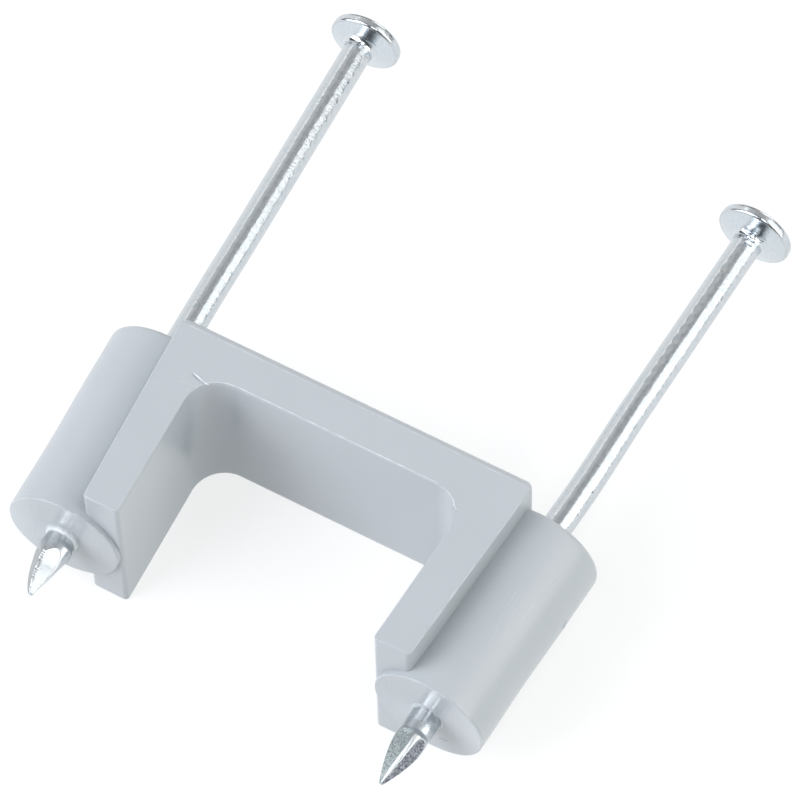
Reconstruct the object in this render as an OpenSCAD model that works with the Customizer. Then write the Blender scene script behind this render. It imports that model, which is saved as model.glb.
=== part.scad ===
// Two-nail cable staple: one moulded saddle with a nail boss on each side,
// and two wire nails that stand in the bosses as packed, ready to be driven.
// Frame, in mm: X runs across the saddle, the nails stand along Y with the
// points towards -Y, the wall plane is y = 0 and the cable runs along Z.
// The piece lies on the back face of the saddle, z = 0.

/* [Saddle] */
// Width between the legs at half of the channel height
opening_w = 19.05; // [16:0.05:24]
// Height of the channel ceiling above the wall plane
opening_h = 12; // [10.5:0.05:16]
// Depth of the saddle along the cable
saddle_d = 11.9; // [10.5:0.1:16]
// Thickness of the bridge over the cable
bridge_t = 3.18; // [2.8:0.02:4]
// Thickness of a leg at its end
leg_t = 2.62; // [2.2:0.02:2.64]
// Distance of the leg ends behind the boss ends
leg_setback = 0.48; // [0.2:0.02:1]
// Lean of the inner leg faces towards the mouth, in degrees
inner_toe = 2.7; // [2.3:0.1:3]
// Lean of the outer leg faces towards the mouth, in degrees
outer_toe = 4; // [3:0.1:4.1]
// Radius in the inner corners of the channel
inner_fillet = 2.3; // [1:0.1:3]
// Rounding of the two top corners of the profile
corner_r = 0.75; // [0.7:0.05:1]
// Rounding of the outer corners at the leg ends
heel_r = 0.5; // [0.3:0.05:0.6]
// Rounding of the inner corners at the leg ends
end_r = 0.3; // [0.25:0.05:0.5]
// Rounding of the long top edges, front and back
top_edge_r = 0.6; // [0.4:0.05:0.65]
// Rounding of the other edges, front and back
edge_r = 0.2; // [0.1:0.02:0.24]

/* [Bosses] */
// Diameter of a boss at its end on the wall plane
boss_d = 7.95; // [7.2:0.05:8.3]
// Draft of the boss sides, in degrees, widening away from the wall
boss_draft = 0.5; // [0.2:0.05:0.6]
// Length of a boss
boss_len = 14.35; // [11:0.05:14.4]
// Distance of the boss side behind the inner face, at the leg end
boss_cover = 0.18; // [0.17:0.01:0.4]
// Lean of the boss and nail axes towards the wall, in degrees
boss_toe = 2.25; // [2.2:0.05:2.6]
// Rounding of the boss rims
boss_rim_r = 0.35; // [0.15:0.05:0.6]
// Height of the lip that the point has pushed up round its hole
lip_h = 0.2; // [0.1:0.02:0.24]
// Width of that lip at its foot
lip_w = 0.4; // [0.32:0.02:0.6]
// Width of its thin rim
lip_t = 0.06; // [0.04:0.01:0.1]

/* [Nails] */
// Diameter of the nail wire
nail_d = 2.03; // [1.6:0.01:2.2]
// Length from the blunt tip to the top of the head
nail_len = 47.6; // [38:0.1:55]
// Radial play of a nail in its bore
bore_play = 0.05; // [0.02:0.01:0.1]
// Diameter of the head
head_d = 5.2; // [4.4:0.05:6]
// Thickness of the head at its rim
head_t = 0.75; // [0.5:0.05:1.2]
// Height of the cone under the head
head_cone = 0.22; // [0.1:0.02:0.4]
// Rounding of the head rim
head_rim_r = 0.3; // [0.15:0.05:0.35]
// Radius of the neck between the shank and the head
neck_r = 0.45; // [0.2:0.05:0.6]
// How far the left point stands out of its boss
left_out = 4.65; // [4.65:0.05:8]
// How far the right point stands out of its boss
right_out = 5.6; // [4.65:0.05:8]
// Turn of the left nail about its axis, in degrees
left_turn = 160; // [0:1:180]
// Turn of the right nail about its axis, in degrees
right_turn = 109; // [0:1:180]

/* [Nail points] */
// Length of the four point facets on their middle lines
point_len = 3.9; // [3.6:0.1:3.9]
// Half angle of the facets at the tip, in degrees
tip_angle = 19; // [17:0.5:21]
// Turn of the facets from the two pinched ridges, in degrees
facet_turn = 52; // [46:1:56]
// Half width between two opposite facets at the blunt tip
tip_half = 0.09; // [0.06:0.01:0.15]
// How deep a facet lies under the wire where it ends
facet_step = 0.1; // [0.04:0.01:0.2]
// Half angle of the pinched ridges at the tip, in degrees
ridge_angle = 26; // [23:0.5:28]
// How far the pinched ridges stand out of the wire, on the radius
ridge_swell = 0.34; // [0.2:0.02:0.4]
// How far short of the facet ends the ridges reach their swell
ridge_lead = 0.3; // [0.3:0.05:0.5]
// Length from the swell of a ridge back down to the wire
ridge_run = 0.8; // [0.5:0.05:0.8]

/* [Grip marks] */
// Turn of the two rows of grip marks from the point facets, in degrees
grip_turn = 145; // [0:1:180]
// Number of grip marks on each side of a shank
grip_count = 9; // [3:1:14]
// Distance from one grip mark to the next
grip_pitch = 0.75; // [0.6:0.05:1.2]
// Depth of a grip mark
grip_depth = 0.05; // [0.02:0.01:0.1]
// Radius of the scoop that leaves a grip mark
grip_r = 0.3; // [0.15:0.05:0.5]

/* [Hidden] */
saddle_h = opening_h + bridge_t;
inner_end = inner_x(leg_setback);
boss_r = boss_d / 2;
boss_x = inner_end + boss_cover + boss_r / cos(boss_toe)
       - leg_setback * tan(boss_toe);
mid_z = saddle_d / 2;
nail_r = nail_d / 2;
bore_r = nail_r + bore_play;
// where the ridges reach their swell, and where they end on the wire
swell_z = point_len - ridge_lead;
ridge_end_z = swell_z + ridge_run;
facet_half = nail_r - facet_step;
facet_r = arc_radius(facet_half - tip_half, point_len, tip_angle);
head_low_r = head_rim_r * 0.6;
arc_steps = 6;
edge_steps = 4;

// half width of the channel and of the whole saddle at the height y
function inner_x(y) = opening_w / 2 + (y - opening_h / 2) * tan(inner_toe);
function outer_x(y) = inner_x(leg_setback) + leg_t
                    + (y - leg_setback) * tan(outer_toe);

// radius of the arc that starts at the angle a to the axis and then rises
// by w while it goes l along the axis
function arc_radius(w, l, a) = norm([w, l]) / (2 * sin(a - atan(w / l)));

// points of an arc, from the angle a to the angle b
function arc(cx, cy, r, a, b) =
    [for (i = [0 : arc_steps]) let (t = a + (b - a) * i / arc_steps)
        [cx + r * cos(t), cy + r * sin(t)]];

// one rounded corner of the profile, drawn d inside the true outline:
// sign is 1 for an outer corner and -1 for an inner one
function corner(c, r, sign, a, b, steps, d) =
    [for (i = [0 : steps]) let (t = a + (b - a) * i / steps)
        [c[0] + (r - sign * d) * cos(t), c[1] + (r - sign * d) * sin(t)]];

// the same for a top corner, which is also lowered by drop at its top
function top_corner(c, a, b, d, drop) =
    [for (i = [0 : arc_steps]) let (t = a + (b - a) * i / arc_steps)
        [c[0] + (corner_r - d) * cos(t),
         c[1] + (corner_r - d) * sin(t) - drop * max(0, sin(t))]];

// outline of the legs and the bridge, counter-clockwise, drawn d inside,
// and a further drop lower along the top
function outline(d, drop) =
    let (low = leg_setback + end_r, high = saddle_h - corner_r,
         hy = leg_setback + heel_r,
         top = [outer_x(high) - corner_r / cos(outer_toe), high],
         heel = [outer_x(hy) - heel_r / cos(outer_toe), hy],
         lip = [inner_x(low) + end_r / cos(inner_toe), low],
         fy = opening_h - inner_fillet,
         cove = [inner_x(fy) - inner_fillet / cos(inner_toe), fy],
         n = arc_steps)
    concat(
        corner(heel, heel_r, 1, -90, -outer_toe, n, d),
        top_corner(top, -outer_toe, 90, d, drop),
        top_corner(flip(top), 90, 180 + outer_toe, d, drop),
        corner(flip(heel), heel_r, 1, 180 + outer_toe, 270, n, d),
        corner(flip(lip), end_r, 1, -90, inner_toe, n, d),
        corner(flip(cove), inner_fillet, -1, 180 + inner_toe, 90, 2 * n, d),
        corner(cove, inner_fillet, -1, 90, -inner_toe, 2 * n, d),
        corner(lip, end_r, 1, 180 - inner_toe, 270, n, d));

function flip(p) = [-p[0], p[1]];

// numbers a, a + 1, ... b
function span(a, b) = [for (i = [a : b]) i];

// the flat U inside one outline, cut into pieces without inner corners;
// the eight corners of the outline lie one after the other, n steps each
// and 2 n steps in the two coves
function flat_u(n) =
    let (top_r = n + 1, top_l = 2 * n + 2, heel_l = 3 * n + 3,
         lip_l = 4 * n + 4, cove_l = 5 * n + 5, cove_r = 7 * n + 6,
         lip_r = 9 * n + 7, turn = 2 * n)
    concat(
        [concat(span(0, n), [top_r, cove_r + turn], span(lip_r, lip_r + n)),
         concat([cove_r + turn], span(top_r, top_r + n)),
         [top_r + n, top_l, cove_l + turn, cove_r],
         concat(span(top_l, top_l + n), [cove_l]),
         concat(span(heel_l, heel_l + n), span(lip_l, lip_l + n),
                [cove_l, top_l + n])],
        [for (i = [0 : turn - 1]) [top_r + n, cove_r + i, cove_r + i + 1]],
        [for (i = [0 : turn - 1]) [top_l, cove_l + i, cove_l + i + 1]]);

// how far an edge of radius r stands inside its face at the depth z
function inset(r, z) = z >= r ? 0 : r - sqrt(r * r - (r - z) * (r - z));

// the saddle: the outline carried from back to front, with rounded edges
module saddle() {
    join = acos(1 - edge_r / top_edge_r);
    depths = concat(
        [for (i = [0 : edge_steps]) edge_r * (1 - cos(90 * i / edge_steps))],
        [for (i = [1 : edge_steps])
            top_edge_r * (1 - cos(join + (90 - join) * i / edge_steps))]);
    last = len(depths) - 1;
    levels = concat([for (z = depths) [z, z]],
                    [for (i = [last : -1 : 0])
                        [depths[i], saddle_d - depths[i]]]);
    rings = [for (l = levels)
        let (d = inset(edge_r, l[0]), drop = inset(top_edge_r, l[0]) - d)
            [for (p = outline(d, drop)) [p[0], p[1], l[1]]]];
    n = len(rings[0]);
    m = len(rings);
    polyhedron(
        points = [for (ring = rings) for (p = ring) p],
        faces = concat(
            flat_u(arc_steps),
            [for (f = flat_u(arc_steps))
                [for (i = [len(f) - 1 : -1 : 0]) (m - 1) * n + f[i]]],
            [for (j = [0 : m - 2]) for (i = [0 : n - 1])
                let (k = (i + 1) % n)
                [j * n + i, (j + 1) * n + i, (j + 1) * n + k]],
            [for (j = [0 : m - 2]) for (i = [0 : n - 1])
                let (k = (i + 1) % n)
                [j * n + i, (j + 1) * n + k, j * n + k]]),
        convexity = 6);
}

// places a piece on the axis of a boss, with its own +Z along the nail:
// side is -1 for the left boss and 1 for the right one
module on_axis(side) {
    translate([side * boss_x, 0, mid_z])
        rotate([0, 0, -side * boss_toe])
            rotate([-90, 0, 0])
                children();
}

// one boss, its end on the wall plane, its side with a little draft, and
// the raised lip round the hole
module boss() {
    foot = boss_r - boss_rim_r;
    crown = foot + (boss_len - 2 * boss_rim_r) * tan(boss_draft);
    rotate_extrude($fn = 96)
        polygon(concat(
            [[0, -lip_h], [bore_r + lip_t, -lip_h], [bore_r + lip_w, 0]],
            arc(foot, boss_rim_r, boss_rim_r, -90, -boss_draft),
            arc(crown, boss_len - boss_rim_r, boss_rim_r, -boss_draft, 90),
            [[0, boss_len]]));
}

// the bore of a boss, right through its lip
module bore() {
    translate([0, 0, -lip_h - 1])
        cylinder(r = bore_r, h = boss_len + lip_h + 2, $fn = 96);
}

module staple_body() {
    color([0.76, 0.79, 0.81])
        difference() {
            union() {
                saddle();
                on_axis(-1) boss();
                on_axis(1) boss();
            }
            on_axis(-1) bore();
            on_axis(1) bore();
        }
}

// outline between two opposite facets: a lens, cut short at the blunt tip
module facet_lens() {
    apex_w = facet_r * (1 - cos(tip_angle)) + tip_half;
    apex_z = facet_r * sin(tip_angle);
    intersection() {
        translate([apex_w - facet_r, apex_z])
            circle(r = facet_r, $fn = 360);
        translate([facet_r - apex_w, apex_z])
            circle(r = facet_r, $fn = 360);
        translate([-2 * nail_d, 0]) square([4 * nail_d, 2 * apex_z]);
    }
}

// what two opposite facets take away: all outside the lens, up to a slope
// that runs out on the wire
module facet_cut() {
    wide = 2 * nail_d;
    top = point_len + wide - facet_half;
    rotate([90, 0, 0])
        translate([0, 0, -wide])
            linear_extrude(height = 2 * wide)
                difference() {
                    polygon([[-wide, -1], [wide, -1], [wide, top],
                             [facet_half, point_len],
                             [-facet_half, point_len], [-wide, top]]);
                    facet_lens();
                }
}

// pinched ridges, wire, neck and head in one turned piece, tip at z = 0
module turned_nail() {
    neck_top = nail_len - head_t - head_cone;
    tip_r = tip_half / cos(facet_turn);
    rise = nail_r + ridge_swell - tip_r;
    ridge_r = arc_radius(rise, swell_z, ridge_angle);
    turn = 2 * (ridge_angle - atan(rise / swell_z));
    rotate_extrude($fn = 72)
        polygon(concat(
            [[0, 0]],
            [for (i = [0 : arc_steps])
                let (t = ridge_angle - turn * i / arc_steps)
                [tip_r + ridge_r * (cos(t) - cos(ridge_angle)),
                 ridge_r * (sin(ridge_angle) - sin(t))]],
            [[nail_r, ridge_end_z]],
            arc(nail_r + neck_r, neck_top - neck_r, neck_r, 180, 90),
            arc(head_d / 2 - head_low_r, nail_len - head_t + head_low_r,
                head_low_r, -90, 0),
            arc(head_d / 2 - head_rim_r, nail_len - head_rim_r, head_rim_r, 0, 90),
            [[0, nail_len]]));
}

module nail() {
    difference() {
        turned_nail();
        rotate([0, 0, facet_turn]) facet_cut();
        rotate([0, 0, -facet_turn]) facet_cut();
        // grip marks on two opposite sides
        for (s = [0, 180])
            rotate([0, 0, grip_turn + s])
                for (k = [0 : grip_count - 1])
                    translate([nail_r + grip_r - grip_depth, 0,
                               nail_len - head_t - head_cone - neck_r
                               - 0.3 - k * grip_pitch])
                        rotate([90, 0, 0])
                            cylinder(r = grip_r, h = 2 * nail_d,
                                     center = true, $fn = 24);
    }
}

module nail_left() {
    color([0.8, 0.83, 0.86])
        on_axis(-1) translate([0, 0, -left_out])
            rotate([0, 0, left_turn]) nail();
}

module nail_right() {
    color([0.8, 0.83, 0.86])
        on_axis(1) translate([0, 0, -right_out])
            rotate([0, 0, right_turn]) nail();
}

staple_body();
nail_left();
nail_right();
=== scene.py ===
import math

import bpy
import bmesh
import numpy as np
from mathutils import Matrix, Vector


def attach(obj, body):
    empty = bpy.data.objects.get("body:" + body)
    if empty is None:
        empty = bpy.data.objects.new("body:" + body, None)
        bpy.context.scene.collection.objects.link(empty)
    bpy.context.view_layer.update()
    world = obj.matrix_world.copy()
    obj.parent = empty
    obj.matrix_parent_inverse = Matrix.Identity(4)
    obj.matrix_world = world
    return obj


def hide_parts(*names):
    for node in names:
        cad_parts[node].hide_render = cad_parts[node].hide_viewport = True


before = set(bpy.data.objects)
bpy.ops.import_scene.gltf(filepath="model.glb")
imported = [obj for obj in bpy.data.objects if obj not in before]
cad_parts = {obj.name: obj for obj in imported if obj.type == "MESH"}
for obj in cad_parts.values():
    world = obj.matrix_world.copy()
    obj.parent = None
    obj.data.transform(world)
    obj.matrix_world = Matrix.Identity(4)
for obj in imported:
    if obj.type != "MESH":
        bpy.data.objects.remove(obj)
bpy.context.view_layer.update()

# A two-nail cable staple: a moulded saddle with a boss on each side and a nail
# in each boss, lit as in its photograph. Sizes are in mm, y is the height above
# the wall and z runs along the cable.
MM = 0.001

# The saddle has the sizes of the solids, but each edge has its own rounding:
# full along the top, sharp at the legs, worn along the channel ceiling.
OPENING_W = 19.05                 # at half the height of the channel
OPENING_H = 12.0                  # from the wall to the channel ceiling
SADDLE_D = 11.9                   # along the cable
BRIDGE_T = 3.18
LEG_T = 2.62                      # at the leg ends
LEG_SETBACK = 0.48                # from the wall to the leg ends
INNER_TOE = math.radians(2.7)     # how far the inner faces lean in
OUTER_TOE = math.radians(4.0)     # how far the outer faces lean in
INNER_FILLET = 2.3
TOP_CORNER_R = 0.62
HEEL_R = 0.36                     # outer corner of a leg end
TOE_R = 0.3                       # inner corner of a leg end
TOP_EDGE_R = 0.56
OUTER_EDGE_R = 0.16
LEG_EDGE_R = 0.1
CEILING_EDGE = 0.13, 0.38         # this high, and this far back
SADDLE_H = OPENING_H + BRIDGE_T
MID_Z = SADDLE_D / 2

# The bosses
BOSS_D = 7.95                     # at the wall
BOSS_LEN = 14.35
BOSS_X = 13.404                   # from the middle of the saddle, at the wall
BOSS_TOE = math.radians(2.25)
BOSS_DRAFT = math.radians(0.5)
BOSS_RIM_R = 0.35
BOSS_FOOT_R = 0.1
BORE_R = 1.065
MOUTH_R = 1.022                   # the bore where the lip closes on the nail
BOSS_SINK = 0.06                  # how far the thick wall drew in as it cooled
LIP_H = 0.2                       # of the plastic pushed up round the nail
LIP_W = 0.2                       # at its foot
LIP_T = 0.06                      # at its top

# The nails
WIRE_R = 1.015
NAIL_LEN = 47.6
HEAD_T = 0.75
HEAD_CONE = 0.22                  # how far the underside rises to the neck
HEAD_RIM_R = 0.3
NECK_R = 0.45
NECK_TOP = NAIL_LEN - HEAD_T - HEAD_CONE
POINT_LEN = 3.9
TIP_ANGLE = math.radians(19)      # at which a facet leaves the tip
FACET_TURN = math.radians(52)     # of a facet from the long ridges
FACET_STEP = 0.1                  # how deep a facet lies below the wire
RIDGE_ANGLE = math.radians(26)    # at which a ridge leaves the tip
SWELL_Z = POINT_LEN - 0.3         # where the point is thickest
SWELL_END = SWELL_Z + 0.5         # from here on the wire is plain
RING_STEPS = 160                  # points round a nail
CUT_DEPTH = 0.004                 # a point cut deeper is on a facet

# Corners sharper than this are creases, in degrees
CREASE = 28
FLAT_CREASE = 13                  # where one of the faces is flat


# Materials
def linear(hex_colour, alpha=1.0):
    """An sRGB hex colour as linear RGBA."""
    parts = [int(hex_colour[i:i + 2], 16) / 255 for i in (1, 3, 5)]
    return tuple(c / 12.92 if c <= 0.04045 else ((c + 0.055) / 1.055) ** 2.4
                 for c in parts) + (alpha,)


def add(tree, kind, **settings):
    """Adds a node. A setting named in_ and an input's name or number sets or
    links that input. The others are properties of the node, and come first
    because some of them change its inputs."""
    node = tree.nodes.new(kind)
    for name, value in settings.items():
        if not name.startswith("in_"):
            setattr(node, name, value)
    for name, value in settings.items():
        if name.startswith("in_"):
            key = name[3:]
            key = int(key) if key.isdigit() else key.replace("_", " ")
            socket = node.inputs[key]
            if isinstance(value, bpy.types.NodeSocket):
                tree.links.new(value, socket)
            else:
                socket.default_value = value
    return node


def new_material(name):
    """A material and its empty node tree."""
    material = bpy.data.materials.new(name)
    material.use_nodes = True
    material.node_tree.nodes.clear()
    return material, material.node_tree


def moulded_plastic(name, dark, light):
    """Injection-moulded nylon-like plastic with a slightly cloudy pigment. A
    polished steel mould gives it a satin face with faint ripples."""
    material, t = new_material(name)
    where = add(t, "ShaderNodeTexCoord").outputs["Object"]
    mm = add(t, "ShaderNodeMapping", in_Vector=where,
             in_Scale=(1000, 1000, 1000)).outputs[0]
    # slow cloudiness of the pigment, about 6 mm across
    cloud = add(t, "ShaderNodeTexNoise", in_Vector=mm, in_Scale=0.17,
                in_Detail=3.0, in_Roughness=0.5)
    tint = add(t, "ShaderNodeMix", data_type="RGBA",
               in_0=cloud.outputs["Fac"], in_6=linear(dark),
               in_7=linear(light))
    # fine ripple of the polished mould, about 0.6 mm across
    ripple = add(t, "ShaderNodeTexNoise", in_Vector=mm, in_Scale=1.6,
                 in_Detail=2.0, in_Roughness=0.45)
    # grain of the skin, drawn at 0.12 mm so that it shows
    grain = add(t, "ShaderNodeTexNoise", in_Vector=mm, in_Scale=8.0,
                in_Detail=2.0)
    low = add(t, "ShaderNodeBump", in_Strength=0.25, in_Distance=0.00004,
              in_Height=ripple.outputs["Fac"])
    fine = add(t, "ShaderNodeBump", in_Strength=0.15, in_Distance=0.00001,
               in_Height=grain.outputs["Fac"], in_Normal=low.outputs[0])
    # the flat boss ends come off a polished plate, the rest off a satin one,
    # and the lip that the nail pulled out of the end is painted pale: partly
    # plastic that whitened as it stretched, partly painted light over the shade on
    # its wall
    y = add(t, "ShaderNodeSeparateXYZ", in_0=mm).outputs[1]
    gloss = add(t, "ShaderNodeMapRange", in_Value=y, in_1=0.02, in_2=0.12,
                in_3=0.1, in_4=0.3)
    pale_lip_and_lift = add(t, "ShaderNodeMapRange", in_Value=y, in_1=-0.06, in_2=-0.25)
    dulled = add(t, "ShaderNodeMapRange", in_Value=y, in_1=-0.06, in_2=-0.08,
                 in_4=0.3)
    gloss = add(t, "ShaderNodeMath", operation="MAXIMUM",
                in_0=gloss.outputs[0], in_1=dulled.outputs[0])
    # painted light and whitening: the lip is mixed towards a pale colour
    colour = add(t, "ShaderNodeMix", data_type="RGBA", in_0=pale_lip_and_lift.outputs[0],
                 in_6=tint.outputs[2], in_7=linear("#CBD2D6"))
    shader = add(t, "ShaderNodeBsdfPrincipled", in_Base_Color=colour.outputs[2],
                 in_Roughness=gloss.outputs[0], in_IOR=1.5,
                 in_Normal=fine.outputs[0])
    add(t, "ShaderNodeOutputMaterial", in_Surface=shader.outputs[0])
    return material


def zinc_plate():
    """Bright zinc plate on drawn steel wire: a cool mirror broken up by the
    soft lumps of the plate and by fine marks of the drawing die."""
    material, t = new_material("bright_zinc_plate")
    where = add(t, "ShaderNodeTexCoord").outputs["Object"]
    mm = add(t, "ShaderNodeMapping", in_Vector=where,
             in_Scale=(1000, 1000, 1000)).outputs[0]
    # lumps about 0.6 mm across, grains of the plate about 0.15 mm across
    lump = add(t, "ShaderNodeTexNoise", in_Vector=mm, in_Scale=1.7,
               in_Detail=2.0, in_Roughness=0.5)
    grain = add(t, "ShaderNodeTexNoise", in_Vector=mm, in_Scale=6.5,
                in_Detail=2.0, in_Roughness=0.55)
    # drawing marks run along the wire: 0.17 mm wide, 2.8 mm long
    along = add(t, "ShaderNodeMapping", in_Vector=where,
                in_Scale=(1000, 60, 1000)).outputs[0]
    drawn = add(t, "ShaderNodeTexNoise", in_Vector=along, in_Scale=6.0,
                in_Detail=2.0)
    # spangle: patches about 0.3 mm across that took the zinc differently
    spangle = add(t, "ShaderNodeTexNoise", in_Vector=mm, in_Scale=3.2,
                  in_Detail=3.0, in_Roughness=0.6)
    patch = add(t, "ShaderNodeMapRange", in_Value=spangle.outputs["Fac"],
                in_1=0.38, in_2=0.56)
    tint = add(t, "ShaderNodeMix", data_type="RGBA",
               in_0=patch.outputs[0], in_6=linear("#C1C9CE"),
               in_7=linear("#CBD0D4"))
    waves = add(t, "ShaderNodeBump", in_Strength=1.0, in_Distance=0.000018,
                in_Height=lump.outputs["Fac"])
    lines = add(t, "ShaderNodeBump", in_Strength=0.5, in_Distance=0.00001,
                in_Height=drawn.outputs["Fac"], in_Normal=waves.outputs[0])
    skin = add(t, "ShaderNodeBump", in_Strength=1.0, in_Distance=0.00001,
               in_Height=grain.outputs["Fac"], in_Normal=lines.outputs[0])
    gloss = add(t, "ShaderNodeMapRange", in_Value=patch.outputs[0],
                in_3=0.1, in_4=0.25)
    shader = add(t, "ShaderNodeBsdfPrincipled", in_Base_Color=tint.outputs[2],
                 in_Metallic=1.0, in_Roughness=gloss.outputs[0],
                 in_Normal=skin.outputs[0])
    add(t, "ShaderNodeOutputMaterial", in_Surface=shader.outputs[0])
    return material


def worked_zinc(name, dark, light, roughness, pits):
    """Zinc over steel that the dies sheared, squeezed or struck. Pits of
    about 0.13 mm where it tore are dark; what the die burnished stays light."""
    material, t = new_material(name)
    where = add(t, "ShaderNodeTexCoord").outputs["Object"]
    mm = add(t, "ShaderNodeMapping", in_Vector=where,
             in_Scale=(1000, 1000, 1000)).outputs[0]
    torn = add(t, "ShaderNodeTexNoise", in_Vector=mm, in_Scale=7.5,
               in_Detail=3.0, in_Roughness=0.65)
    sharp = add(t, "ShaderNodeMapRange", in_Value=torn.outputs["Fac"],
                in_1=0.36, in_2=0.62)
    tint = add(t, "ShaderNodeMix", data_type="RGBA", in_0=sharp.outputs[0],
               in_6=linear(dark), in_7=linear(light))
    bump = add(t, "ShaderNodeBump", in_Strength=1.0, in_Distance=pits,
               in_Height=torn.outputs["Fac"])
    shader = add(t, "ShaderNodeBsdfPrincipled", in_Base_Color=tint.outputs[2],
                 in_Metallic=1.0, in_Roughness=roughness,
                 in_Normal=bump.outputs[0])
    add(t, "ShaderNodeOutputMaterial", in_Surface=shader.outputs[0])
    return material


def studio_floor():
    """Opal acrylic, a little uneven, lit from behind so that it looks white
    and plain and takes hardly any shadow."""
    material, t = new_material("backlit_opal_acrylic")
    where = add(t, "ShaderNodeTexCoord").outputs["Object"]
    uneven = add(t, "ShaderNodeTexNoise", in_Vector=where, in_Scale=6.0)
    tint = add(t, "ShaderNodeMix", data_type="RGBA",
               in_0=uneven.outputs["Fac"], in_6=linear("#8F9092"),
               in_7=linear("#919294"))
    shader = add(t, "ShaderNodeBsdfPrincipled", in_Base_Color=tint.outputs[2],
                 in_Roughness=0.9, in_Emission_Color=linear("#FDFEFD"),
                 in_Emission_Strength=0.7)
    add(t, "ShaderNodeOutputMaterial", in_Surface=shader.outputs[0])
    return material


PLASTIC = moulded_plastic("moulded_grey_plastic", "#A8AFB4", "#ACB3B8")
# the beads are painted pale: partly thin, stretched flash, partly a painted
# highlight that makes the edge lines read bright
FLASH_WITH_HIGHLIGHT = moulded_plastic("thin_pale_mould_flash", "#BDC4C9", "#D3D9DD")
# painted shade: the nick's strokes are darkened to stand in for the shade inside its
# grooves
NICK_SHADE = moulded_plastic("painted_nick_shade_plastic", "#767D83", "#80878D")
ZINC = zinc_plate()
# rubbed smooth by the shearing die: a nearly even, bright face
BURNISHED = worked_zinc("burnished_zinc_on_sheared_steel", "#A8AEB1", "#B2B7BA",
                        0.3, 0.000009)
# sheared finely: a pale, greenish glitter
FROSTED = worked_zinc("frosted_zinc_on_sheared_steel", "#8A9799", "#CBD5D6",
                      0.42, 0.00005)
# torn off: a darker, coarser glitter
TORN = worked_zinc("torn_zinc_on_sheared_steel", "#42464F", "#ACB1BA",
                   0.38, 0.00008)
# swollen between the dies: satin, without pits
SQUEEZED = worked_zinc("drawn_zinc_on_squeezed_steel", "#BBC1C5", "#C8CDD0",
                       0.33, 0.000008)
# struck in one blow: the smoothest and lightest face of the nail
STRUCK = worked_zinc("smooth_zinc_on_struck_steel_head", "#C8D0D6", "#D2D9DE",
                     0.2, 0.000004)


# Mesh tools
def mesh_object(name, points_mm, faces, material):
    """A new object at the origin, its place in its mesh."""
    mesh = bpy.data.meshes.new(name)
    mesh.from_pydata([tuple(p) for p in np.asarray(points_mm) * MM], [], faces)
    mesh.validate()
    mesh.materials.append(material)
    obj = bpy.data.objects.new(name, mesh)
    bpy.context.scene.collection.objects.link(obj)
    return obj


def bake(obj):
    """Turns the object's modifiers into plain mesh and removes them."""
    bpy.context.view_layer.update()
    graph = bpy.context.evaluated_depsgraph_get()
    done = bpy.data.meshes.new_from_object(obj.evaluated_get(graph))
    obj.modifiers.clear()
    old, obj.data = obj.data, done
    done.name = old.name
    bpy.data.meshes.remove(old)


def run_tree(obj, tree, values):
    """Runs a geometry-nodes tree on the object with its named inputs set."""
    modifier = obj.modifiers.new("nodes", "NODES")
    modifier.node_group = tree
    for item in tree.interface.items_tree:
        if item.in_out == "INPUT" and item.name in values:
            modifier[item.identifier] = values[item.name]
    bake(obj)


def drop_object(obj):
    """Removes an object together with its mesh."""
    mesh = obj.data
    bpy.data.objects.remove(obj)
    bpy.data.meshes.remove(mesh)


def arc(cx, cy, r, a, b, n):
    """Points on an arc from the angle a to the angle b, in radians."""
    t = np.linspace(a, b, n + 1)
    return np.stack([cx + r * np.cos(t), cy + r * np.sin(t)], 1)


def ring_faces(steps, rings):
    """Faces of a closed shape of rings, from a first pole to a last one."""
    faces, last = [], 1 + rings * steps
    for i in range(steps):
        k = (i + 1) % steps
        faces.append((0, 1 + k, 1 + i))
        for a in range(1, last - steps, steps):
            faces.append((a + i, a + k, a + steps + k, a + steps + i))
        faces.append((last - steps + i, last - steps + k, last))
    return faces


def lathe(profile, steps):
    """A closed turned shape: profile is (radius, height) from pole to pole."""
    turn = np.linspace(0, 2 * math.pi, steps, endpoint=False)
    inner = profile[1:-1]
    rings = np.array([[(r * math.cos(t), r * math.sin(t), z) for t in turn]
                      for r, z in inner]).reshape(-1, 3)
    points = np.vstack([[0, 0, profile[0][1]], rings, [0, 0, profile[-1][1]]])
    return points, ring_faces(steps, len(inner))


def boss_axis(side):
    """Places a piece whose own +Z is the nail axis, tip end first."""
    return (Matrix.Translation(Vector((side * BOSS_X, 0, MID_Z)) * MM)
            @ Matrix.Rotation(-side * BOSS_TOE, 4, "Z")
            @ Matrix.Rotation(math.radians(-90), 4, "X"))


# The saddle
def inner_x(y):
    """Half the width of the channel at the height y."""
    return OPENING_W / 2 + (y - OPENING_H / 2) * math.tan(INNER_TOE)


def outer_x(y):
    """Half the width of the saddle at the height y."""
    return (inner_x(LEG_SETBACK) + LEG_T
            + (y - LEG_SETBACK) * math.tan(OUTER_TOE))


def inset(high, depth, back=None):
    """How far a rounded edge stands inside its face at this depth."""
    back = back or high
    if depth >= back:
        return 0.0
    return high * (1 - math.sqrt(1 - (1 - depth / back) ** 2))


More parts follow.
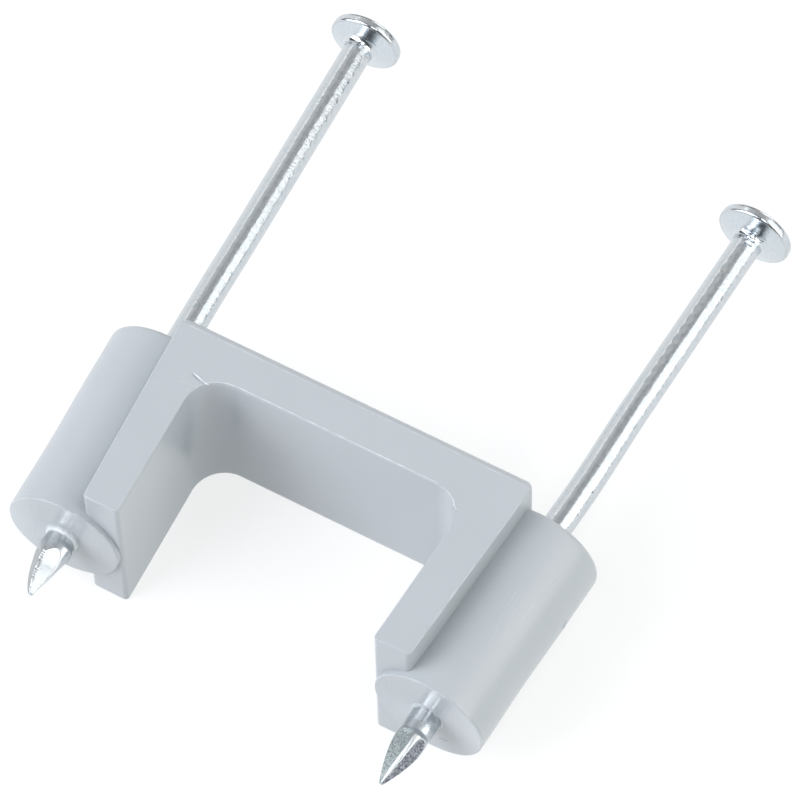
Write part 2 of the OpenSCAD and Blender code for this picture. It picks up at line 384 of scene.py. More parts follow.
def saddle_outline(depth, n=12):
    """Outline of legs and bridge at this depth behind a flat face."""
    out, low, top = (inset(r, depth)
                     for r in (OUTER_EDGE_R, LEG_EDGE_R, TOP_EDGE_R))
    ceiling = inset(CEILING_EDGE[0], depth, CEILING_EDGE[1])
    y = LEG_SETBACK + HEEL_R
    heel = arc(outer_x(y) - HEEL_R / math.cos(OUTER_TOE), y, HEEL_R - out,
               -math.pi / 2, -OUTER_TOE, n)
    y = SADDLE_H - TOP_CORNER_R
    crown = arc(outer_x(y) - TOP_CORNER_R / math.cos(OUTER_TOE), y,
                TOP_CORNER_R - out, -OUTER_TOE, math.pi / 2, n)
    share = np.clip(np.sin(np.linspace(-OUTER_TOE, math.pi / 2, n + 1)), 0, 1)
    crown[:, 1] -= (top - out) * share
    y = OPENING_H - INNER_FILLET
    turn = np.linspace(math.pi / 2, -INNER_TOE, 2 * n + 1)
    bend = INNER_FILLET + low + (ceiling - low) * np.clip(
        np.sin(turn), 0, 1) ** 2
    cove = np.stack([inner_x(y) - INNER_FILLET / math.cos(INNER_TOE)
                     + bend * np.cos(turn), y + bend * np.sin(turn)], 1)
    y = LEG_SETBACK + TOE_R
    toe = arc(inner_x(y) + TOE_R / math.cos(INNER_TOE), y, TOE_R - low,
              math.pi - INNER_TOE, 1.5 * math.pi, n)
    right = np.vstack([heel, crown])
    left = right[::-1] * (-1, 1)
    inside = np.vstack([cove, toe])
    return np.vstack([right, left, inside[::-1] * (-1, 1), inside])


def saddle_shell():
    """Legs and bridge: the outline at each depth, from back face to front."""
    bends = (LEG_EDGE_R, OUTER_EDGE_R, CEILING_EDGE[1], TOP_EDGE_R)
    steps = np.concatenate([r * (1 - np.cos(np.linspace(0, math.pi / 2, 8)))
                            for r in bends])
    depths, closest = [0.0], 0.006
    for depth in sorted(steps):
        if depth > depths[-1] + closest or depth in bends:
            depths.append(float(depth))
    middle = list(np.linspace(TOP_EDGE_R, SADDLE_D - TOP_EDGE_R, 9)[1:-1])
    levels = ([(d, d) for d in depths] + [(TOP_EDGE_R, z) for z in middle]
              + [(d, SADDLE_D - d) for d in reversed(depths)])
    rings = []
    for depth, z in levels:
        flat = saddle_outline(depth)
        rings.append(np.column_stack([flat, np.full(len(flat), z)]))
    n = len(rings[0])
    faces = [tuple(range(n - 1, -1, -1)),
             tuple(range((len(rings) - 1) * n, len(rings) * n))]
    for j in range(len(rings) - 1):
        for i in range(n):
            k = (i + 1) % n
            faces.append((j * n + i, j * n + k, (j + 1) * n + k, (j + 1) * n + i))
    return mesh_object("saddle_moulding", np.vstack(rings), faces, PLASTIC)


def sink(share):
    """How far a boss's side has drawn in at this share of its length."""
    return BOSS_SINK * np.sin(math.pi * np.minimum(share * 1.35, 1)) ** 2


def boss_profile():
    """Lip, end face, rim, drafted side with its sink, and crown."""
    lip = [(0, -LIP_H), (BORE_R + LIP_T, -LIP_H),
           (BORE_R + LIP_T + 0.03, -0.85 * LIP_H),
           (BORE_R + 0.6 * LIP_W, -0.4 * LIP_H),
           (BORE_R + 0.75 * LIP_W, -0.1 * LIP_H), (BORE_R + LIP_W, 0)]
    r0 = BOSS_D / 2 - BOSS_RIM_R
    r1 = r0 + (BOSS_LEN - 2 * BOSS_RIM_R) * math.tan(BOSS_DRAFT)
    foot = arc(BOSS_D / 2 - BOSS_FOOT_R, BOSS_FOOT_R, BOSS_FOOT_R, -math.pi / 2,
               -BOSS_DRAFT, 8)
    crown = arc(r1, BOSS_LEN - BOSS_RIM_R, BOSS_RIM_R, -BOSS_DRAFT,
                math.pi / 2, 8)
    share = np.linspace(0, 1, 26)[1:-1]
    side = foot[-1] + np.outer(share, crown[0] - foot[-1])
    side[:, 0] -= sink(share)
    return lip + [tuple(p) for p in np.vstack([foot, side, crown])] + [
        (0, BOSS_LEN)]


def bore_profile():
    """The hole, which the lip closes on to the nail at its mouth."""
    return [(0, -2), (MOUTH_R, -2), (MOUTH_R, 0.3), (BORE_R, 0.5),
            (BORE_R, BOSS_LEN + 1), (0, BOSS_LEN + 1)]


def ragged_lip(points, side):
    """Makes a lip uneven: on the left boss it is higher all round and most of
    all on one side, on the right one lower all round and most of all on one
    side. The side is an angle round the nail, in degrees."""
    growth, towards = ((1.6, -25), (-0.9, 60))[side > 0]
    turn = np.arctan2(-points[:, 1], points[:, 0]) - math.radians(towards)
    waves = 0.12 * np.sin(5 * turn + side) + 0.08 * np.sin(11 * turn)
    extra = growth * (0.35 + 0.65 * np.clip(np.cos(turn), 0, 1) ** 2) + waves
    low = points[:, 2] < 0
    points[:, 2] = np.where(low, points[:, 2] * (1 + extra), points[:, 2])
    return points


def make_saddle():
    """Joins the bosses to the saddle, then cuts their bores and a groove."""
    body = saddle_shell()
    cutters = []
    for shape, action in ((boss_profile(), "UNION"),
                          (bore_profile(), "DIFFERENCE")):
        for side in (-1, 1):
            points, faces = lathe(shape, 144)
            if action == "UNION":
                points = ragged_lip(points, side)
            tool = mesh_object("tool", points, faces, PLASTIC)
            tool.data.transform(boss_axis(side))
            cut = body.modifiers.new("join", "BOOLEAN")
            cut.object, cut.operation, cut.solver = tool, action, "EXACT"
            cutters.append(tool)
    tool = bead_object("tool", groove_lines(), PLASTIC, 0.3)
    cut = body.modifiers.new("join", "BOOLEAN")
    cut.object, cut.operation, cut.solver = tool, "DIFFERENCE", "EXACT"
    bake(body)
    for tool in cutters + [tool]:
        drop_object(tool)
    smooth(body)
    return body


def is_flat(area, normal):
    """A plane of over 5 square mm, or one that faces the wall."""
    return area > 5 * MM ** 2 or normal.y < -0.997


def smooth(obj):
    """Smooth faces, sharp creases, and flat faces that stay flat."""
    obj.data.shade_smooth()
    bm = bmesh.new()
    bm.from_mesh(obj.data)
    bmesh.ops.remove_doubles(bm, verts=bm.verts, dist=0.000001)
    for edge in bm.edges:
        if len(edge.link_faces) == 2:
            # beside a flat face a smaller angle is a crease already
            flat = any(is_flat(face.calc_area(), face.normal)
                       for face in edge.link_faces)
            edge.smooth = edge.calc_face_angle() < math.radians(
                FLAT_CREASE if flat else CREASE)
    bm.to_mesh(obj.data)
    bm.free()
    even = obj.modifiers.new("even", "WEIGHTED_NORMAL")
    even.keep_sharp, even.weight = True, 100
    bake(obj)
    normals = [tuple(corner.vector) for corner in obj.data.corner_normals]
    for face in obj.data.polygons:
        if is_flat(face.area, face.normal):
            for corner in face.loop_indices:
                normals[corner] = tuple(face.normal)
    obj.data.normals_split_custom_set(normals)


# Flash lines
def front_arc(side, offset, a, b, n=24):
    """Points on the front face round an inner corner of the channel."""
    y = OPENING_H - INNER_FILLET
    x = inner_x(y) - INNER_FILLET / math.cos(INNER_TOE)
    flat = arc(x, y, INNER_FILLET + offset, math.radians(a), math.radians(b), n)
    return [(side * px, py, SADDLE_D) for px, py in flat]


def boss_line(side, angles, heights, lift=0.0):
    """Points on a boss: world angle round its axis, height above its end."""
    place = boss_axis(side)
    points = []
    for angle, height in zip(angles, heights):
        r = BOSS_D / 2 + height * math.tan(BOSS_DRAFT) + lift
        r -= sink(height / BOSS_LEN)
        a = -math.radians(angle)
        at = place @ (Vector((r * math.cos(a), r * math.sin(a), height)) * MM)
        points.append(tuple(at / MM))
    return points


def groove_lines():
    """A cut line, as flash_lines, under the burr of the left corner."""
    burr = [(-10.25, 11.58, SADDLE_D), (-9.95, 11.52, SADDLE_D),
            (-9.62, 11.41, SADDLE_D), (-9.27, 11.31, SADDLE_D),
            (-9.0, 11.24, SADDLE_D)]
    return [(burr, 0.09, True)]


def flash_lines():
    """Fine raised lines as (points, radius, taper) lists: where mould parts
    met, a burr and a fleck at the channel corners, and scratches, whose
    edges stand up, on the right boss."""
    z = SADDLE_D
    lines = [
        # the step between the face and the rounded top
        ([(x, SADDLE_H - TOP_EDGE_R, z) for x in np.linspace(-12.2, 12.4, 90)],
         0.013, False),
        # the ceiling's front edge, from the burr to the fleck
        (front_arc(-1, 0.08, 40, 86)
         + [(x, OPENING_H + CEILING_EDGE[0], z)
            for x in np.linspace(-7.2, 7.2, 70)]
         + front_arc(1, 0.08, 86, 40), 0.034, False),
        # the burr of the left corner, a fine line below it, and the fleck of
        # the right corner
        ([(-10.2, 11.66, z), (-9.92, 11.62, z), (-9.6, 11.51, z),
          (-9.25, 11.41, z), (-8.99, 11.36, z), (-8.84, 11.4, z - 0.02)], 0.08,
         True),
        ([(-9.57, 10.86, z), (-10.15, 10.8, z), (-10.74, 10.74, z)], 0.014, True),
        ([(9.05, 11.3, z), (9.2, 11.22, z), (9.35, 11.1, z), (9.45, 11.0, z)],
         0.13, True),
        # front edges of the two leg ends and of the right leg
        ([(x, LEG_SETBACK + 0.1, z - 0.04) for x in np.linspace(9.6, 11.5, 24)],
         0.02, False),
        ([(-x, LEG_SETBACK + 0.1, z - 0.04) for x in np.linspace(9.6, 11.5, 24)],
         0.016, False),
        ([(outer_x(y) - 0.05, y, z - 0.03) for y in np.linspace(1.0, 14.3, 90)],
         0.018, False),
    ]
    # the rims of the boss ends
    for side in (-1, 1):
        turn = list(range(0, 361, 5))
        lines.append((boss_line(side, turn, [0.05] * len(turn), -0.035), 0.018,
                      False))
    # a fan of scratches that sweeps up the right boss, each k a little further
    # round it than the last, a short scratch and two chips
    for k, start, end in ((0, 0, 5), (1, 1, 4), (2.2, 0, 4), (3, 1, 5),
                          (4.6, 2, 5), (5.2, 0, 3), (6.5, 1, 5)):
        height = [4.6 + 0.35 * k, 6.8 + 0.3 * k, 8.6 + 0.22 * k, 10.3 + 0.12 * k,
                  12.2 - 0.05 * k]
        angle = [62.8 - 2.5 * k, 70.5 - 3.5 * k, 71.3 - 4.5 * k, 64 - 4 * k,
                 48.7 - 2 * k]
        lines.append((boss_line(1, angle[start:end], height[start:end]), 0.008,
                      True))
    lines.append((boss_line(1, [103, 96.8, 91.7], [9.2, 9.6, 10]), 0.01, True))
    lines.append((boss_line(1, [-5, -3], [11.4, 10.9]), 0.08, True))
    lines.append((boss_line(1, [0, -5, -9], [10.3, 10.05, 9.8]), 0.1, True))
    return lines


def nick_lines():
    """As flash_lines: a nick of two strokes in the right boss end."""
    nick = [(x, -math.tan(BOSS_TOE) * (x - BOSS_X), z)
            for x, z in ((14.17, 3.59), (14.5, 3.76), (14.84, 3.91),
                         (14.36, 3.15))]
    return [(nick[:3], 0.026, True), (nick[2:], 0.018, True)]


def flash_tree():
    """Geometry nodes: turns each line into a thin bead of uneven thickness."""
    tree = bpy.data.node_groups.new("flash_beads", "GeometryNodeTree")
    sockets = tree.interface
    sockets.new_socket("Geometry", in_out="INPUT", socket_type="NodeSocketGeometry")
    for name in ("Step", "Grain", "Uneven", "Seed"):
        sockets.new_socket(name, in_out="INPUT", socket_type="NodeSocketFloat")
    sockets.new_socket("Plastic", in_out="INPUT", socket_type="NodeSocketMaterial")
    sockets.new_socket("Geometry", in_out="OUTPUT", socket_type="NodeSocketGeometry")
    given = add(tree, "NodeGroupInput").outputs
    line = add(tree, "GeometryNodeMeshToCurve", in_Mesh=given["Geometry"]).outputs[0]
    line = add(tree, "GeometryNodeResampleCurve", mode="LENGTH",
               in_Curve=line, in_Length=given["Step"]).outputs[0]
    width = add(tree, "GeometryNodeInputNamedAttribute", data_type="FLOAT",
                in_Name="width").outputs[0]
    noise = add(tree, "ShaderNodeTexNoise", noise_dimensions="4D",
                in_W=given["Seed"], in_Scale=given["Grain"],
                in_Detail=1.0).outputs[0]
    uneven = add(tree, "ShaderNodeMapRange", in_Value=noise, in_1=0.35, in_2=0.65,
                 in_3=add(tree, "ShaderNodeMath", operation="SUBTRACT", in_0=1.0,
                          in_1=given["Uneven"]).outputs[0],
                 in_4=1.25).outputs[0]
    size = add(tree, "ShaderNodeMath", operation="MULTIPLY", in_0=width,
               in_1=uneven).outputs[0]
    ring = add(tree, "GeometryNodeCurvePrimitiveCircle", in_Resolution=8,
               in_Radius=1.0).outputs[0]
    bead = add(tree, "GeometryNodeCurveToMesh", in_Curve=line,
               in_Profile_Curve=ring, in_Scale=size,
               in_Fill_Caps=True).outputs[0]
    bead = add(tree, "GeometryNodeRealizeInstances", in_Geometry=bead).outputs[0]
    bead = add(tree, "GeometryNodeSetMaterial", in_Geometry=bead,
               in_Material=given["Plastic"]).outputs[0]
    add(tree, "NodeGroupOutput", in_Geometry=bead)
    return tree


BEADS = flash_tree()


def bead_object(name, lines, material, uneven):
    """Beads along lines of (points, radius, taper). A tapered one is thinner
    at its ends."""
    points, edges, widths = [], [], []
    for line, radius, taper in lines:
        first, last = len(points), len(points) + len(line) - 1
        points += line
        edges += [(k, k + 1) for k in range(first, last)]
        for share in np.linspace(0, 1, len(line)):
            swell = math.sin(math.pi * (0.15 + 0.7 * share)) if taper else 1.0
            widths.append(radius * swell * MM)
    mesh = bpy.data.meshes.new(name)
    mesh.from_pydata([tuple(p) for p in np.array(points) * MM], edges, [])
    mesh.attributes.new("width", "FLOAT", "POINT").data.foreach_set("value", widths)
    obj = bpy.data.objects.new(name, mesh)
    bpy.context.scene.collection.objects.link(obj)
    run_tree(obj, BEADS, {"Step": 0.06 * MM, "Grain": 1800.0, "Uneven": uneven,
                          "Seed": 3.0, "Plastic": material})
    obj.data.shade_smooth()
    return obj


# The nails
def rise(start, high, length, angle, s):
    """Height at s of an arc that leaves the axis direction at the angle and
    rises from start by high over the length."""
    r = math.hypot(high, length) / (2 * math.sin(angle - math.atan(high / length)))
    turn = np.arcsin(np.clip(math.sin(angle) - s / r, -1, 1))
    return start + r * (np.cos(turn) - math.cos(angle))


def soft_min(a, b, k):
    """The smaller of two, with the meeting rounded over k."""
    h = np.clip(0.5 + 0.5 * (b - a) / k, 0, 1)
    return b * (1 - h) + a * h - k * h * (1 - h)


def pinched_radius(s, theta, swell, ridge_tip):
    """Radius before the facets are cut, at each height and angle. The dies
    squeeze the steel out mostly sideways, towards the two long ridges."""
    fade = np.clip((s - SWELL_Z) / (SWELL_END - SWELL_Z), 0, 1)
    turned = np.where(
        s < SWELL_Z,
        rise(ridge_tip, WIRE_R + swell - ridge_tip, SWELL_Z, RIDGE_ANGLE, s),
        np.where(s < SWELL_END,
                 WIRE_R + swell * 0.5 * (1 + np.cos(math.pi * fade)), WIRE_R))
    sideways = np.abs(np.cos(theta)) ** 3
    over = np.maximum(turned - WIRE_R, 0)
    return (np.minimum(turned, WIRE_R)[:, None]
            + over[:, None] * (0.12 + 0.88 * sideways)[None, :])


def cut_facets(r, s, theta, tip_half, ends, outs, run, soft):
    """Pushes the rings in to the four facets of the point. Also gives the
    facet's number at each point, from 1, and 0 where there is none."""
    number_at = np.zeros_like(r)
    half = WIRE_R - FACET_STEP
    bulge = rise(tip_half, half - tip_half, POINT_LEN, TIP_ANGLE,
                 np.minimum(s, POINT_LEN + 0.5))
    normals = (FACET_TURN, math.pi - FACET_TURN, math.pi + FACET_TURN,
               -FACET_TURN)
    for number, normal in enumerate(normals):
        d = bulge + outs[number] * np.clip(s / 1.5, 0, 1)
        # towards its end each facet runs out of the wire in an arch
        d = d + 0.3 * np.maximum(0, (s - ends[number]) / run + 1) ** 2
        facing = np.cos(theta - normal)
        flat = d[:, None] / np.maximum(facing, 0.05)[None, :]
        number_at = np.where(flat < r - CUT_DEPTH, number + 1, number_at)
        number_at = np.where(np.abs(flat - r) < 0.6 * soft, 0, number_at)
        r = soft_min(r, flat, soft)
    return r, number_at


def blunt_ridges(r, number_at, s, theta, tip_half, back, soft):
    """Cuts the two long ridges back to a strip of even width."""
    slant = math.cos(FACET_TURN)
    high = (WIRE_R - FACET_STEP - tip_half) / slant
    strip = rise(tip_half / slant, high, POINT_LEN, math.radians(28),
                 np.minimum(s, POINT_LEN))
    strip = strip - back * np.clip(s / 0.8, 0, 1)
    strip = strip + 2 * np.maximum(0, s - SWELL_Z) ** 2
    flat = strip[:, None] / np.maximum(np.abs(np.cos(theta)), 0.05)[None, :]
    return (soft_min(r, flat, soft),
            np.where(flat < r - CUT_DEPTH, 0, number_at))


def ragged_burr(s, theta, high):
    """What a burr on one of the short ridges adds, where the dies met."""
    on_ridge = np.exp(-(np.sin((theta - math.pi / 2) / 2) / 0.06) ** 2)
    teeth = np.abs(np.sin(11 * s + 2 * np.sin(5 * s))) * np.clip(s / 0.6, 0, 1)
    along = (teeth - 0.5) * (s < POINT_LEN - 0.9)
    return high * (on_ridge[None, :] * along[:, None])


def bend_at(s, bow):
    """Sideways bend at the heights s: bow is (height, bend) points, smoothed
    over 2.5 mm."""
    even = np.arange(-2, NAIL_LEN + 2, 0.1)
    bend = np.convolve(np.interp(even, *zip(*bow)), np.ones(25) / 25, "same")
    return np.interp(s, even, bend)


def head_profile(head_r):
    """Neck, underside, rim and top as (radius, height), and how many of these
    points belong to neck and underside."""
    low_r = HEAD_RIM_R * 0.6
    neck = arc(WIRE_R + NECK_R, NECK_TOP - NECK_R, NECK_R, math.pi,
               math.pi / 2, 14)[1:]
    low = arc(head_r - low_r, NAIL_LEN - HEAD_T + low_r, low_r,
              -math.pi / 2, 0, 8)
    high = arc(head_r - HEAD_RIM_R, NAIL_LEN - HEAD_RIM_R, HEAD_RIM_R, 0,
               math.pi / 2, 10)
    cone = neck[-1] + np.outer(np.linspace(0, 1, 9)[1:-1], low[0] - neck[-1])
    top = [(head_r * share, NAIL_LEN) for share in (0.7, 0.4, 0.15)]
    return np.vstack([neck, cone, low, high, top]), len(neck) + len(cone)


def nail_mesh(name, facet_ends, facet_outs, facet_run, ridge_soft, ridge_flat,
              burr, swell, tip_half, tip_shift, tip_ease, head_r, head_shift,
              bow):
    """One nail along its own +Z, blunt tip at z = 0, with the number of its
    metal on each face: 1 to 4 on the facets, 5 where the dies squeezed it, 6
    on neck and underside of the head, 0 elsewhere. The facets end at the
    heights facet_ends and stand out by facet_outs. The ridges are rounded by
    ridge_soft, and the two long ones cut back by ridge_flat. The tip is
    tip_half thick either way, and its shift fades over tip_ease."""
    s = np.concatenate([
        np.linspace(0, 4.6, 116), np.linspace(4.6, 30, 60)[1:],
        np.linspace(30, NECK_TOP - NECK_R, 260)[1:]])
    theta = np.linspace(0, 2 * math.pi, RING_STEPS, endpoint=False)
    r = pinched_radius(s, theta, swell, tip_half / math.cos(FACET_TURN))
    r, number_at = cut_facets(r, s, theta, tip_half, facet_ends, facet_outs,
                              facet_run, ridge_soft)
    if ridge_flat:
        r, number_at = blunt_ridges(r, number_at, s, theta, tip_half,
                                    ridge_flat, ridge_soft)
    r = r + ragged_burr(s, theta, burr)
    ease = np.exp(-s / tip_ease)[:, None]
    toward, bend = bow[0], bend_at(s, bow[1])[:, None]
    shank = [r * np.cos(theta) + tip_shift[0] * ease + toward[0] * bend,
             r * np.sin(theta) + tip_shift[1] * ease + toward[1] * bend,
             np.repeat(s[:, None], RING_STEPS, 1)]
    head, underside = head_profile(head_r)
    share = np.clip((head[:, 0] - WIRE_R) / (head_r - WIRE_R), 0, 1)
    share[np.argmax(share):] = 1
    head = [head[:, :1] * np.cos(theta) + share[:, None] * head_shift[0],
            head[:, :1] * np.sin(theta) + share[:, None] * head_shift[1],
            np.repeat(head[:, 1:], RING_STEPS, 1)]
    rings = np.stack([np.vstack(pair) for pair in zip(shank, head)], 2)
    points = np.vstack([
        [tip_shift[0], tip_shift[1], 0], rings.reshape(-1, 3),
        [head_shift[0], head_shift[1], NAIL_LEN]])
    # a face belongs to a facet only where all of its corners do
    marks = np.zeros((len(rings) - 1, RING_STEPS), dtype=int)
    marks[:s.searchsorted(SWELL_END + 0.5)] = 5
    marks[len(s):len(s) + underside] = 6
    first, beside = number_at[:-1], np.roll(number_at, -1, 1)
    whole = ((first > 0) & (first == number_at[1:]) & (first == beside[:-1])
             & (first == beside[1:]))
    marks[:len(s) - 1][whole] = first[whole]
    obj = mesh_object(name, points, ring_faces(RING_STEPS, len(rings)), ZINC)
    obj.data.attributes.new("facet", "INT", "FACE").data.foreach_set(
        "value", np.pad(marks, ((1, 1), (0, 0))).T.ravel())
    obj.data.shade_smooth()
    return obj


def grip_tree():
    """Geometry nodes: rows of flats that the gripping dies press into the
    two sides of a shank along Z, repeated at a pitch, ragged by noise, and
    the material of each facet of the point."""
    tree = bpy.data.node_groups.new("grip_marks", "GeometryNodeTree")
    sockets = tree.interface
    sockets.new_socket("Geometry", in_out="INPUT", socket_type="NodeSocketGeometry")
    for name in ("First", "Last", "Pitch", "Length", "Radius", "Depth", "Turn",
                 "Ragged", "Seed"):
        sockets.new_socket(name, in_out="INPUT", socket_type="NodeSocketFloat")
    for name in ["Metal"] + ["Facet %d" % number for number in range(1, 7)]:
        sockets.new_socket(name, in_out="INPUT", socket_type="NodeSocketMaterial")
    sockets.new_socket("Geometry", in_out="OUTPUT", socket_type="NodeSocketGeometry")
    given = add(tree, "NodeGroupInput").outputs
    at = add(tree, "GeometryNodeInputPosition").outputs[0]
    x, y, z = add(tree, "ShaderNodeSeparateXYZ", in_0=at).outputs

    def calc(operation, a, b=0.0, c=0.0):
        return add(tree, "ShaderNodeMath", operation=operation, in_0=a,
                   in_1=b, in_2=c).outputs[0]

    # which mark, and where along it
    ragged = add(tree, "ShaderNodeTexNoise", noise_dimensions="4D",
                 in_Vector=at, in_W=given["Seed"], in_Scale=1100.0,
                 in_Detail=1.0).outputs[0]
    wobble = calc("MULTIPLY", calc("SUBTRACT", ragged, 0.5), given["Ragged"])
    count = calc("ADD", calc("DIVIDE", calc("SUBTRACT", z, given["First"]),
                             given["Pitch"]), wobble)
    across = calc("ABSOLUTE", calc("SUBTRACT", calc("FRACT", count), 0.5))
    half = calc("MULTIPLY", given["Length"], 0.5)
    scoop = add(tree, "ShaderNodeMapRange", interpolation_type="SMOOTHSTEP",
                in_Value=across, in_1=calc("SUBTRACT", half, 0.25),
                in_2=calc("ADD", half, 0.15), in_3=1.0, in_4=0.0).outputs[0]
    # every mark has its own depth
    each = add(tree, "ShaderNodeTexWhiteNoise", noise_dimensions="2D",
               in_Vector=add(tree, "ShaderNodeCombineXYZ",
                             in_X=calc("FLOOR", count),
                             in_Y=given["Seed"]).outputs[0]).outputs[0]
    inside = calc("MULTIPLY", calc("GREATER_THAN", z, given["First"]),
                  calc("LESS_THAN", z, given["Last"]))
    depth = calc("MULTIPLY", calc("MULTIPLY", scoop, inside),
                 calc("MULTIPLY", given["Depth"], calc("ADD", each, 0.5)))
    # a flat: the shank is cut back to a plane square to the grip
    angle = calc("SUBTRACT", calc("ARCTAN2", y, x), given["Turn"])
    facing = calc("MAXIMUM", calc("ABSOLUTE", calc("COSINE", angle)), 0.3)
    reach = calc("SQRT", calc("ADD", calc("MULTIPLY", x, x),
                              calc("MULTIPLY", y, y)))
    flat = calc("DIVIDE", calc("SUBTRACT", given["Radius"], depth), facing)
    push = calc("SUBTRACT", reach, calc("SMOOTH_MIN", reach, flat, 0.00002))
    push = calc("MINIMUM", push, depth)
    inward = add(tree, "ShaderNodeVectorMath", operation="NORMALIZE",
                 in_0=add(tree, "ShaderNodeCombineXYZ", in_X=x,
                          in_Y=y).outputs[0]).outputs[0]
    offset = add(tree, "ShaderNodeVectorMath", operation="SCALE", in_0=inward,
                 in_Scale=calc("MULTIPLY", push, -1.0)).outputs[0]
    moved = add(tree, "GeometryNodeSetPosition",
                in_Geometry=given["Geometry"], in_Offset=offset).outputs[0]
    whole = add(tree, "GeometryNodeRealizeInstances",
                in_Geometry=moved).outputs[0]
    whole = add(tree, "GeometryNodeSetMaterial", in_Geometry=whole,
                in_Material=given["Metal"]).outputs[0]
    facet = add(tree, "GeometryNodeInputNamedAttribute", data_type="INT",
                in_Name="facet").outputs[0]
    for number in range(1, 7):
        chosen = add(tree, "FunctionNodeCompare", data_type="INT",
                     operation="EQUAL", in_2=facet, in_3=number).outputs[0]
        whole = add(tree, "GeometryNodeSetMaterial", in_Geometry=whole,
                    in_Selection=chosen,
                    in_Material=given["Facet %d" % number]).outputs[0]
    add(tree, "NodeGroupOutput", in_Geometry=whole)
    return tree


GRIPS = grip_tree()


def make_nail(name, side, out, turn, metals, grips, neck, ragged, **shape):
    """A nail in its boss: its tip stands out of it by out, its facets are
    turned. Shifts and bow are given in the frame of the saddle; grips and neck
    are (angle, length of the row, pitch, mark, depth)."""
    spin = Matrix.Rotation(turn, 4, "Z")

    def own(shift):
        v = spin.inverted() @ Vector((shift[0], -shift[1], 0))
        return v.x, v.y

    shape["tip_shift"] = own(shape["tip_shift"])
    shape["head_shift"] = own(shape["head_shift"])
    shape["bow"] = own((1, 0)), [(y + out, w) for y, w in shape["bow"]]
    nail = nail_mesh(name, **shape)
    for row, last in ((grips, NECK_TOP - NECK_R - 0.25), (neck, NECK_TOP + 0.1)):
        angle, length, pitch, mark, depth = row
        values = {"First": (last - length) * MM, "Last": last * MM,
                  "Pitch": pitch * MM, "Length": mark, "Radius": WIRE_R * MM,
                  "Depth": depth * MM, "Turn": -math.radians(angle) - turn,
                  "Ragged": ragged, "Seed": 2.0 + side, "Metal": ZINC}
        for number, metal in enumerate(metals):
            values["Facet %d" % (number + 1)] = metal
        run_tree(nail, GRIPS, values)
    nail.data.transform(boss_axis(side) @ Matrix.Translation((0, 0, -out * MM))
                        @ spin)
    return nail


# The object
saddle = make_saddle()
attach(saddle, "saddle")
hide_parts("staple_body")

# painted highlight: the pale colour of these beads stands in for the bright lines
# along the edges and rims
flash = bead_object("mould_flash", flash_lines(), FLASH_WITH_HIGHLIGHT, 0.8)
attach(flash, "saddle")

# the nick's strokes carry painted shade, darker than the plastic round them
nick = bead_object("boss_end_nick", nick_lines(), NICK_SHADE, 0.3)
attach(nick, "saddle")

left = make_nail(
    "left_nail_wire", -1, 4.65, math.radians(160),
    metals=(BURNISHED, BURNISHED, BURNISHED, BURNISHED, SQUEEZED, STRUCK),
    facet_ends=(3.5, 3.5, 3.5, 3.5), facet_outs=(0.06, 0, 0, 0), facet_run=1.5,
    ridge_soft=0.04, ridge_flat=0.0, burr=0.07, swell=0.15, tip_half=0.13,
    tip_shift=(0.14, 0.03), tip_ease=0.5, head_r=2.52, head_shift=(0.12, 0.0),
    bow=((0, 0), (14, -0.03), (17, -0.05), (21, -0.05), (25, 0)),
    grips=(31, 11.5, 0.8, 0.6, 0.024), neck=(80, 0.8, 0.5, 0.5, 0.02), ragged=0.2)
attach(left, "left_nail")
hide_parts("nail_left")

right = make_nail(
    "right_nail_wire", 1, 5.6, math.radians(109),
    metals=(TORN, FROSTED, TORN, FROSTED, SQUEEZED, STRUCK),
    facet_ends=(3.9, 4.3, 4.1, 3.9), facet_outs=(0, 0, 0.03, 0), facet_run=1.0,
    ridge_soft=0.06, ridge_flat=0.12, burr=0.0, swell=0.2, tip_half=0.12,
    tip_shift=(0.0, 0.0), tip_ease=1.0, head_r=2.62, head_shift=(0.04, 0.06),
    bow=((-5, -0.045), (-1, -0.006), (0, 0), (14, 0.028), (16, 0.075), (19, 0.13),
         (21, 0.11), (25, 0)),
    grips=(96, 13.0, 0.9, 0.7, 0.022), neck=(76, 1.1, 0.36, 0.5, 0.08), ragged=0.35)
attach(right, "right_nail")
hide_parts("nail_right")


# The studio
def make_camera():
    """At the photograph's angle: 30.6 degrees round, 60 degrees up, rolled
    by 1.7 degrees, from about 39 cm with a long lens."""
    az, el, roll = (math.radians(a) for a in (30.611, 60.082, 1.661))
    target, pan, dist = Vector((0, 18, 5)), (1.163, 1.233), 386.414
    px_per_mm, frame_px = 15.344, 800
    back = Vector((math.sin(az) * math.cos(el), -math.cos(az) * math.cos(el),
                   math.sin(el)))
    right_0 = Vector((math.cos(az), math.sin(az), 0))
    up_0 = back.cross(right_0)
    right_v = math.cos(roll) * right_0 - math.sin(roll) * up_0
    up_v = math.sin(roll) * right_0 + math.cos(roll) * up_0
    data = bpy.data.cameras.new("camera")
    data.sensor_fit, data.sensor_width = "HORIZONTAL", 36
    data.lens = px_per_mm * dist * data.sensor_width / frame_px
    data.clip_start, data.clip_end = 0.01, 10
    cam = bpy.data.objects.new("camera", data)
    bpy.context.scene.collection.objects.link(cam)
    place = target + pan[0] * right_v + pan[1] * up_v + dist * back
    turn = Matrix((right_v, up_v, back)).transposed().to_4x4()
    cam.matrix_world = Matrix.Translation(place * MM) @ turn
    bpy.context.scene.camera = cam


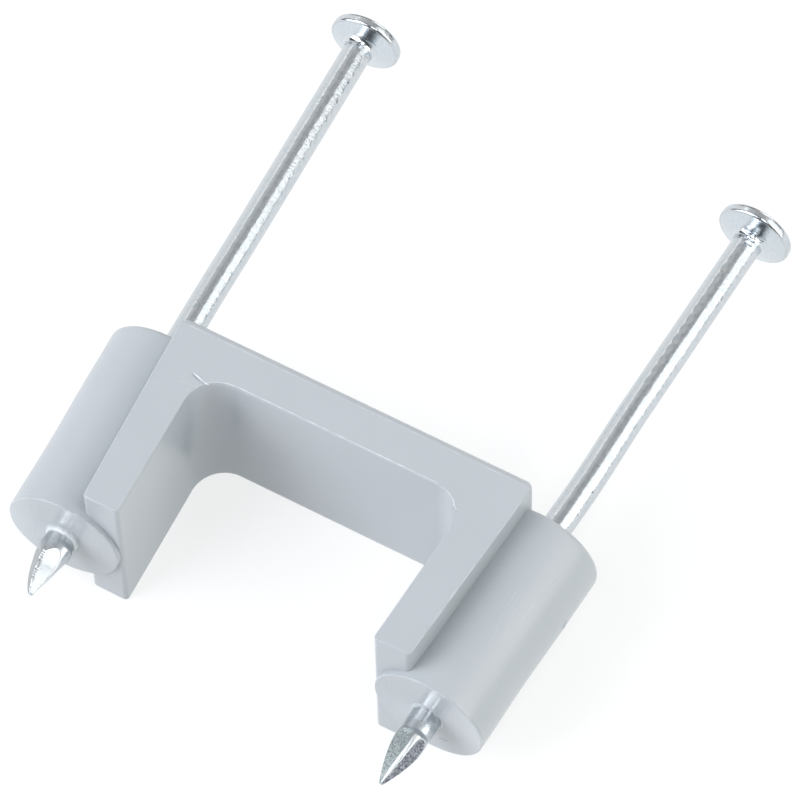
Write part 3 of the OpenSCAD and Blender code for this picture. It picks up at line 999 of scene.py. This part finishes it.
def softbox(name, toward, size, radiance, colour="#FFFFFF", upright=(0, 1, 0),
            distance=0.5):
    """A rectangular softbox seen from the part in the direction toward, its
    second side along upright. Its brightness is given as radiance."""
    data = bpy.data.lights.new(name, "AREA")
    data.shape, data.size, data.size_y = "RECTANGLE", size[0], size[1]
    data.energy = radiance * math.pi * size[0] * size[1]
    data.color = linear(colour)[:3]
    obj = bpy.data.objects.new(name, data)
    bpy.context.scene.collection.objects.link(obj)
    out = Vector(toward).normalized()
    side = Vector(upright).cross(out).normalized()
    turn = Matrix((side, out.cross(side), out)).transposed().to_4x4()
    place = Vector((0, 0.018, 0.005)) + out * distance
    obj.matrix_world = Matrix.Translation(place) @ turn


make_camera()
# the floor lies just under the back face
far, below = 2000, -0.02
floor = mesh_object("floor", [(-far, -far, below), (far, -far, below),
                              (far, far, below), (-far, far, below)],
                    [(0, 1, 2, 3)], studio_floor())

# Broad light from the front left, from higher up and from the right, and a
# weak warm one from behind the heads.
UP = (0, 0, 1)
softbox("key", (-0.64, -0.64, 0.42), (0.45, 0.45), 4.0, "#FDFCFF", UP, 0.6)
softbox("overhead", (-0.45, -0.45, 0.77), (0.45, 0.45), 3.1, "#FBF9FF", UP, 0.6)
softbox("right_fill", (0.9, 0, 0.42), (0.45, 0.45), 2.5, "#FFFDF8", UP, 0.6)
softbox("back_wall", (0, 0.88, 0.47), (0.90, 0.40), 0.38, "#FFF1E6", UP, 0.5)
# What the nails mirror: white, dim and pale bands along their length, a patch
# on the shoulder of the right point, and a narrow hot strip that makes the
# glossy boss ends mirror the nails.
softbox("white_strip", (0.74, 0.35, 0.50), (0.50, 0.25), 1.6)
softbox("dim_strip", (-0.113, 0.43, 0.896), (0.74, 0.30), 0.48)
softbox("half_strip", (-0.458, 0.43, 0.778), (0.24, 0.30), 0.16)
softbox("shoulder_patch", (0.17, 0.92, 0.36), (0.24, 0.26), 1.9)
softbox("pale_strip", (-0.82, 0.45, 0.35), (0.40, 0.24), 1.0)
softbox("boss_end_strip", (0.27, -0.28, 0.92), (0.14, 0.34), 4.4)

world = bpy.data.worlds.new("studio")
bpy.context.scene.world = world
world.use_nodes = True
world.node_tree.nodes.clear()
glow = add(world.node_tree, "ShaderNodeBackground",
           in_Color=linear("#F4F8FF"), in_Strength=0.06)
add(world.node_tree, "ShaderNodeOutputWorld", in_Surface=glow.outputs[0])

view = bpy.context.scene.view_settings
view.view_transform, view.look = "Standard", "None"
view.exposure, view.gamma = 0.0, 1.0
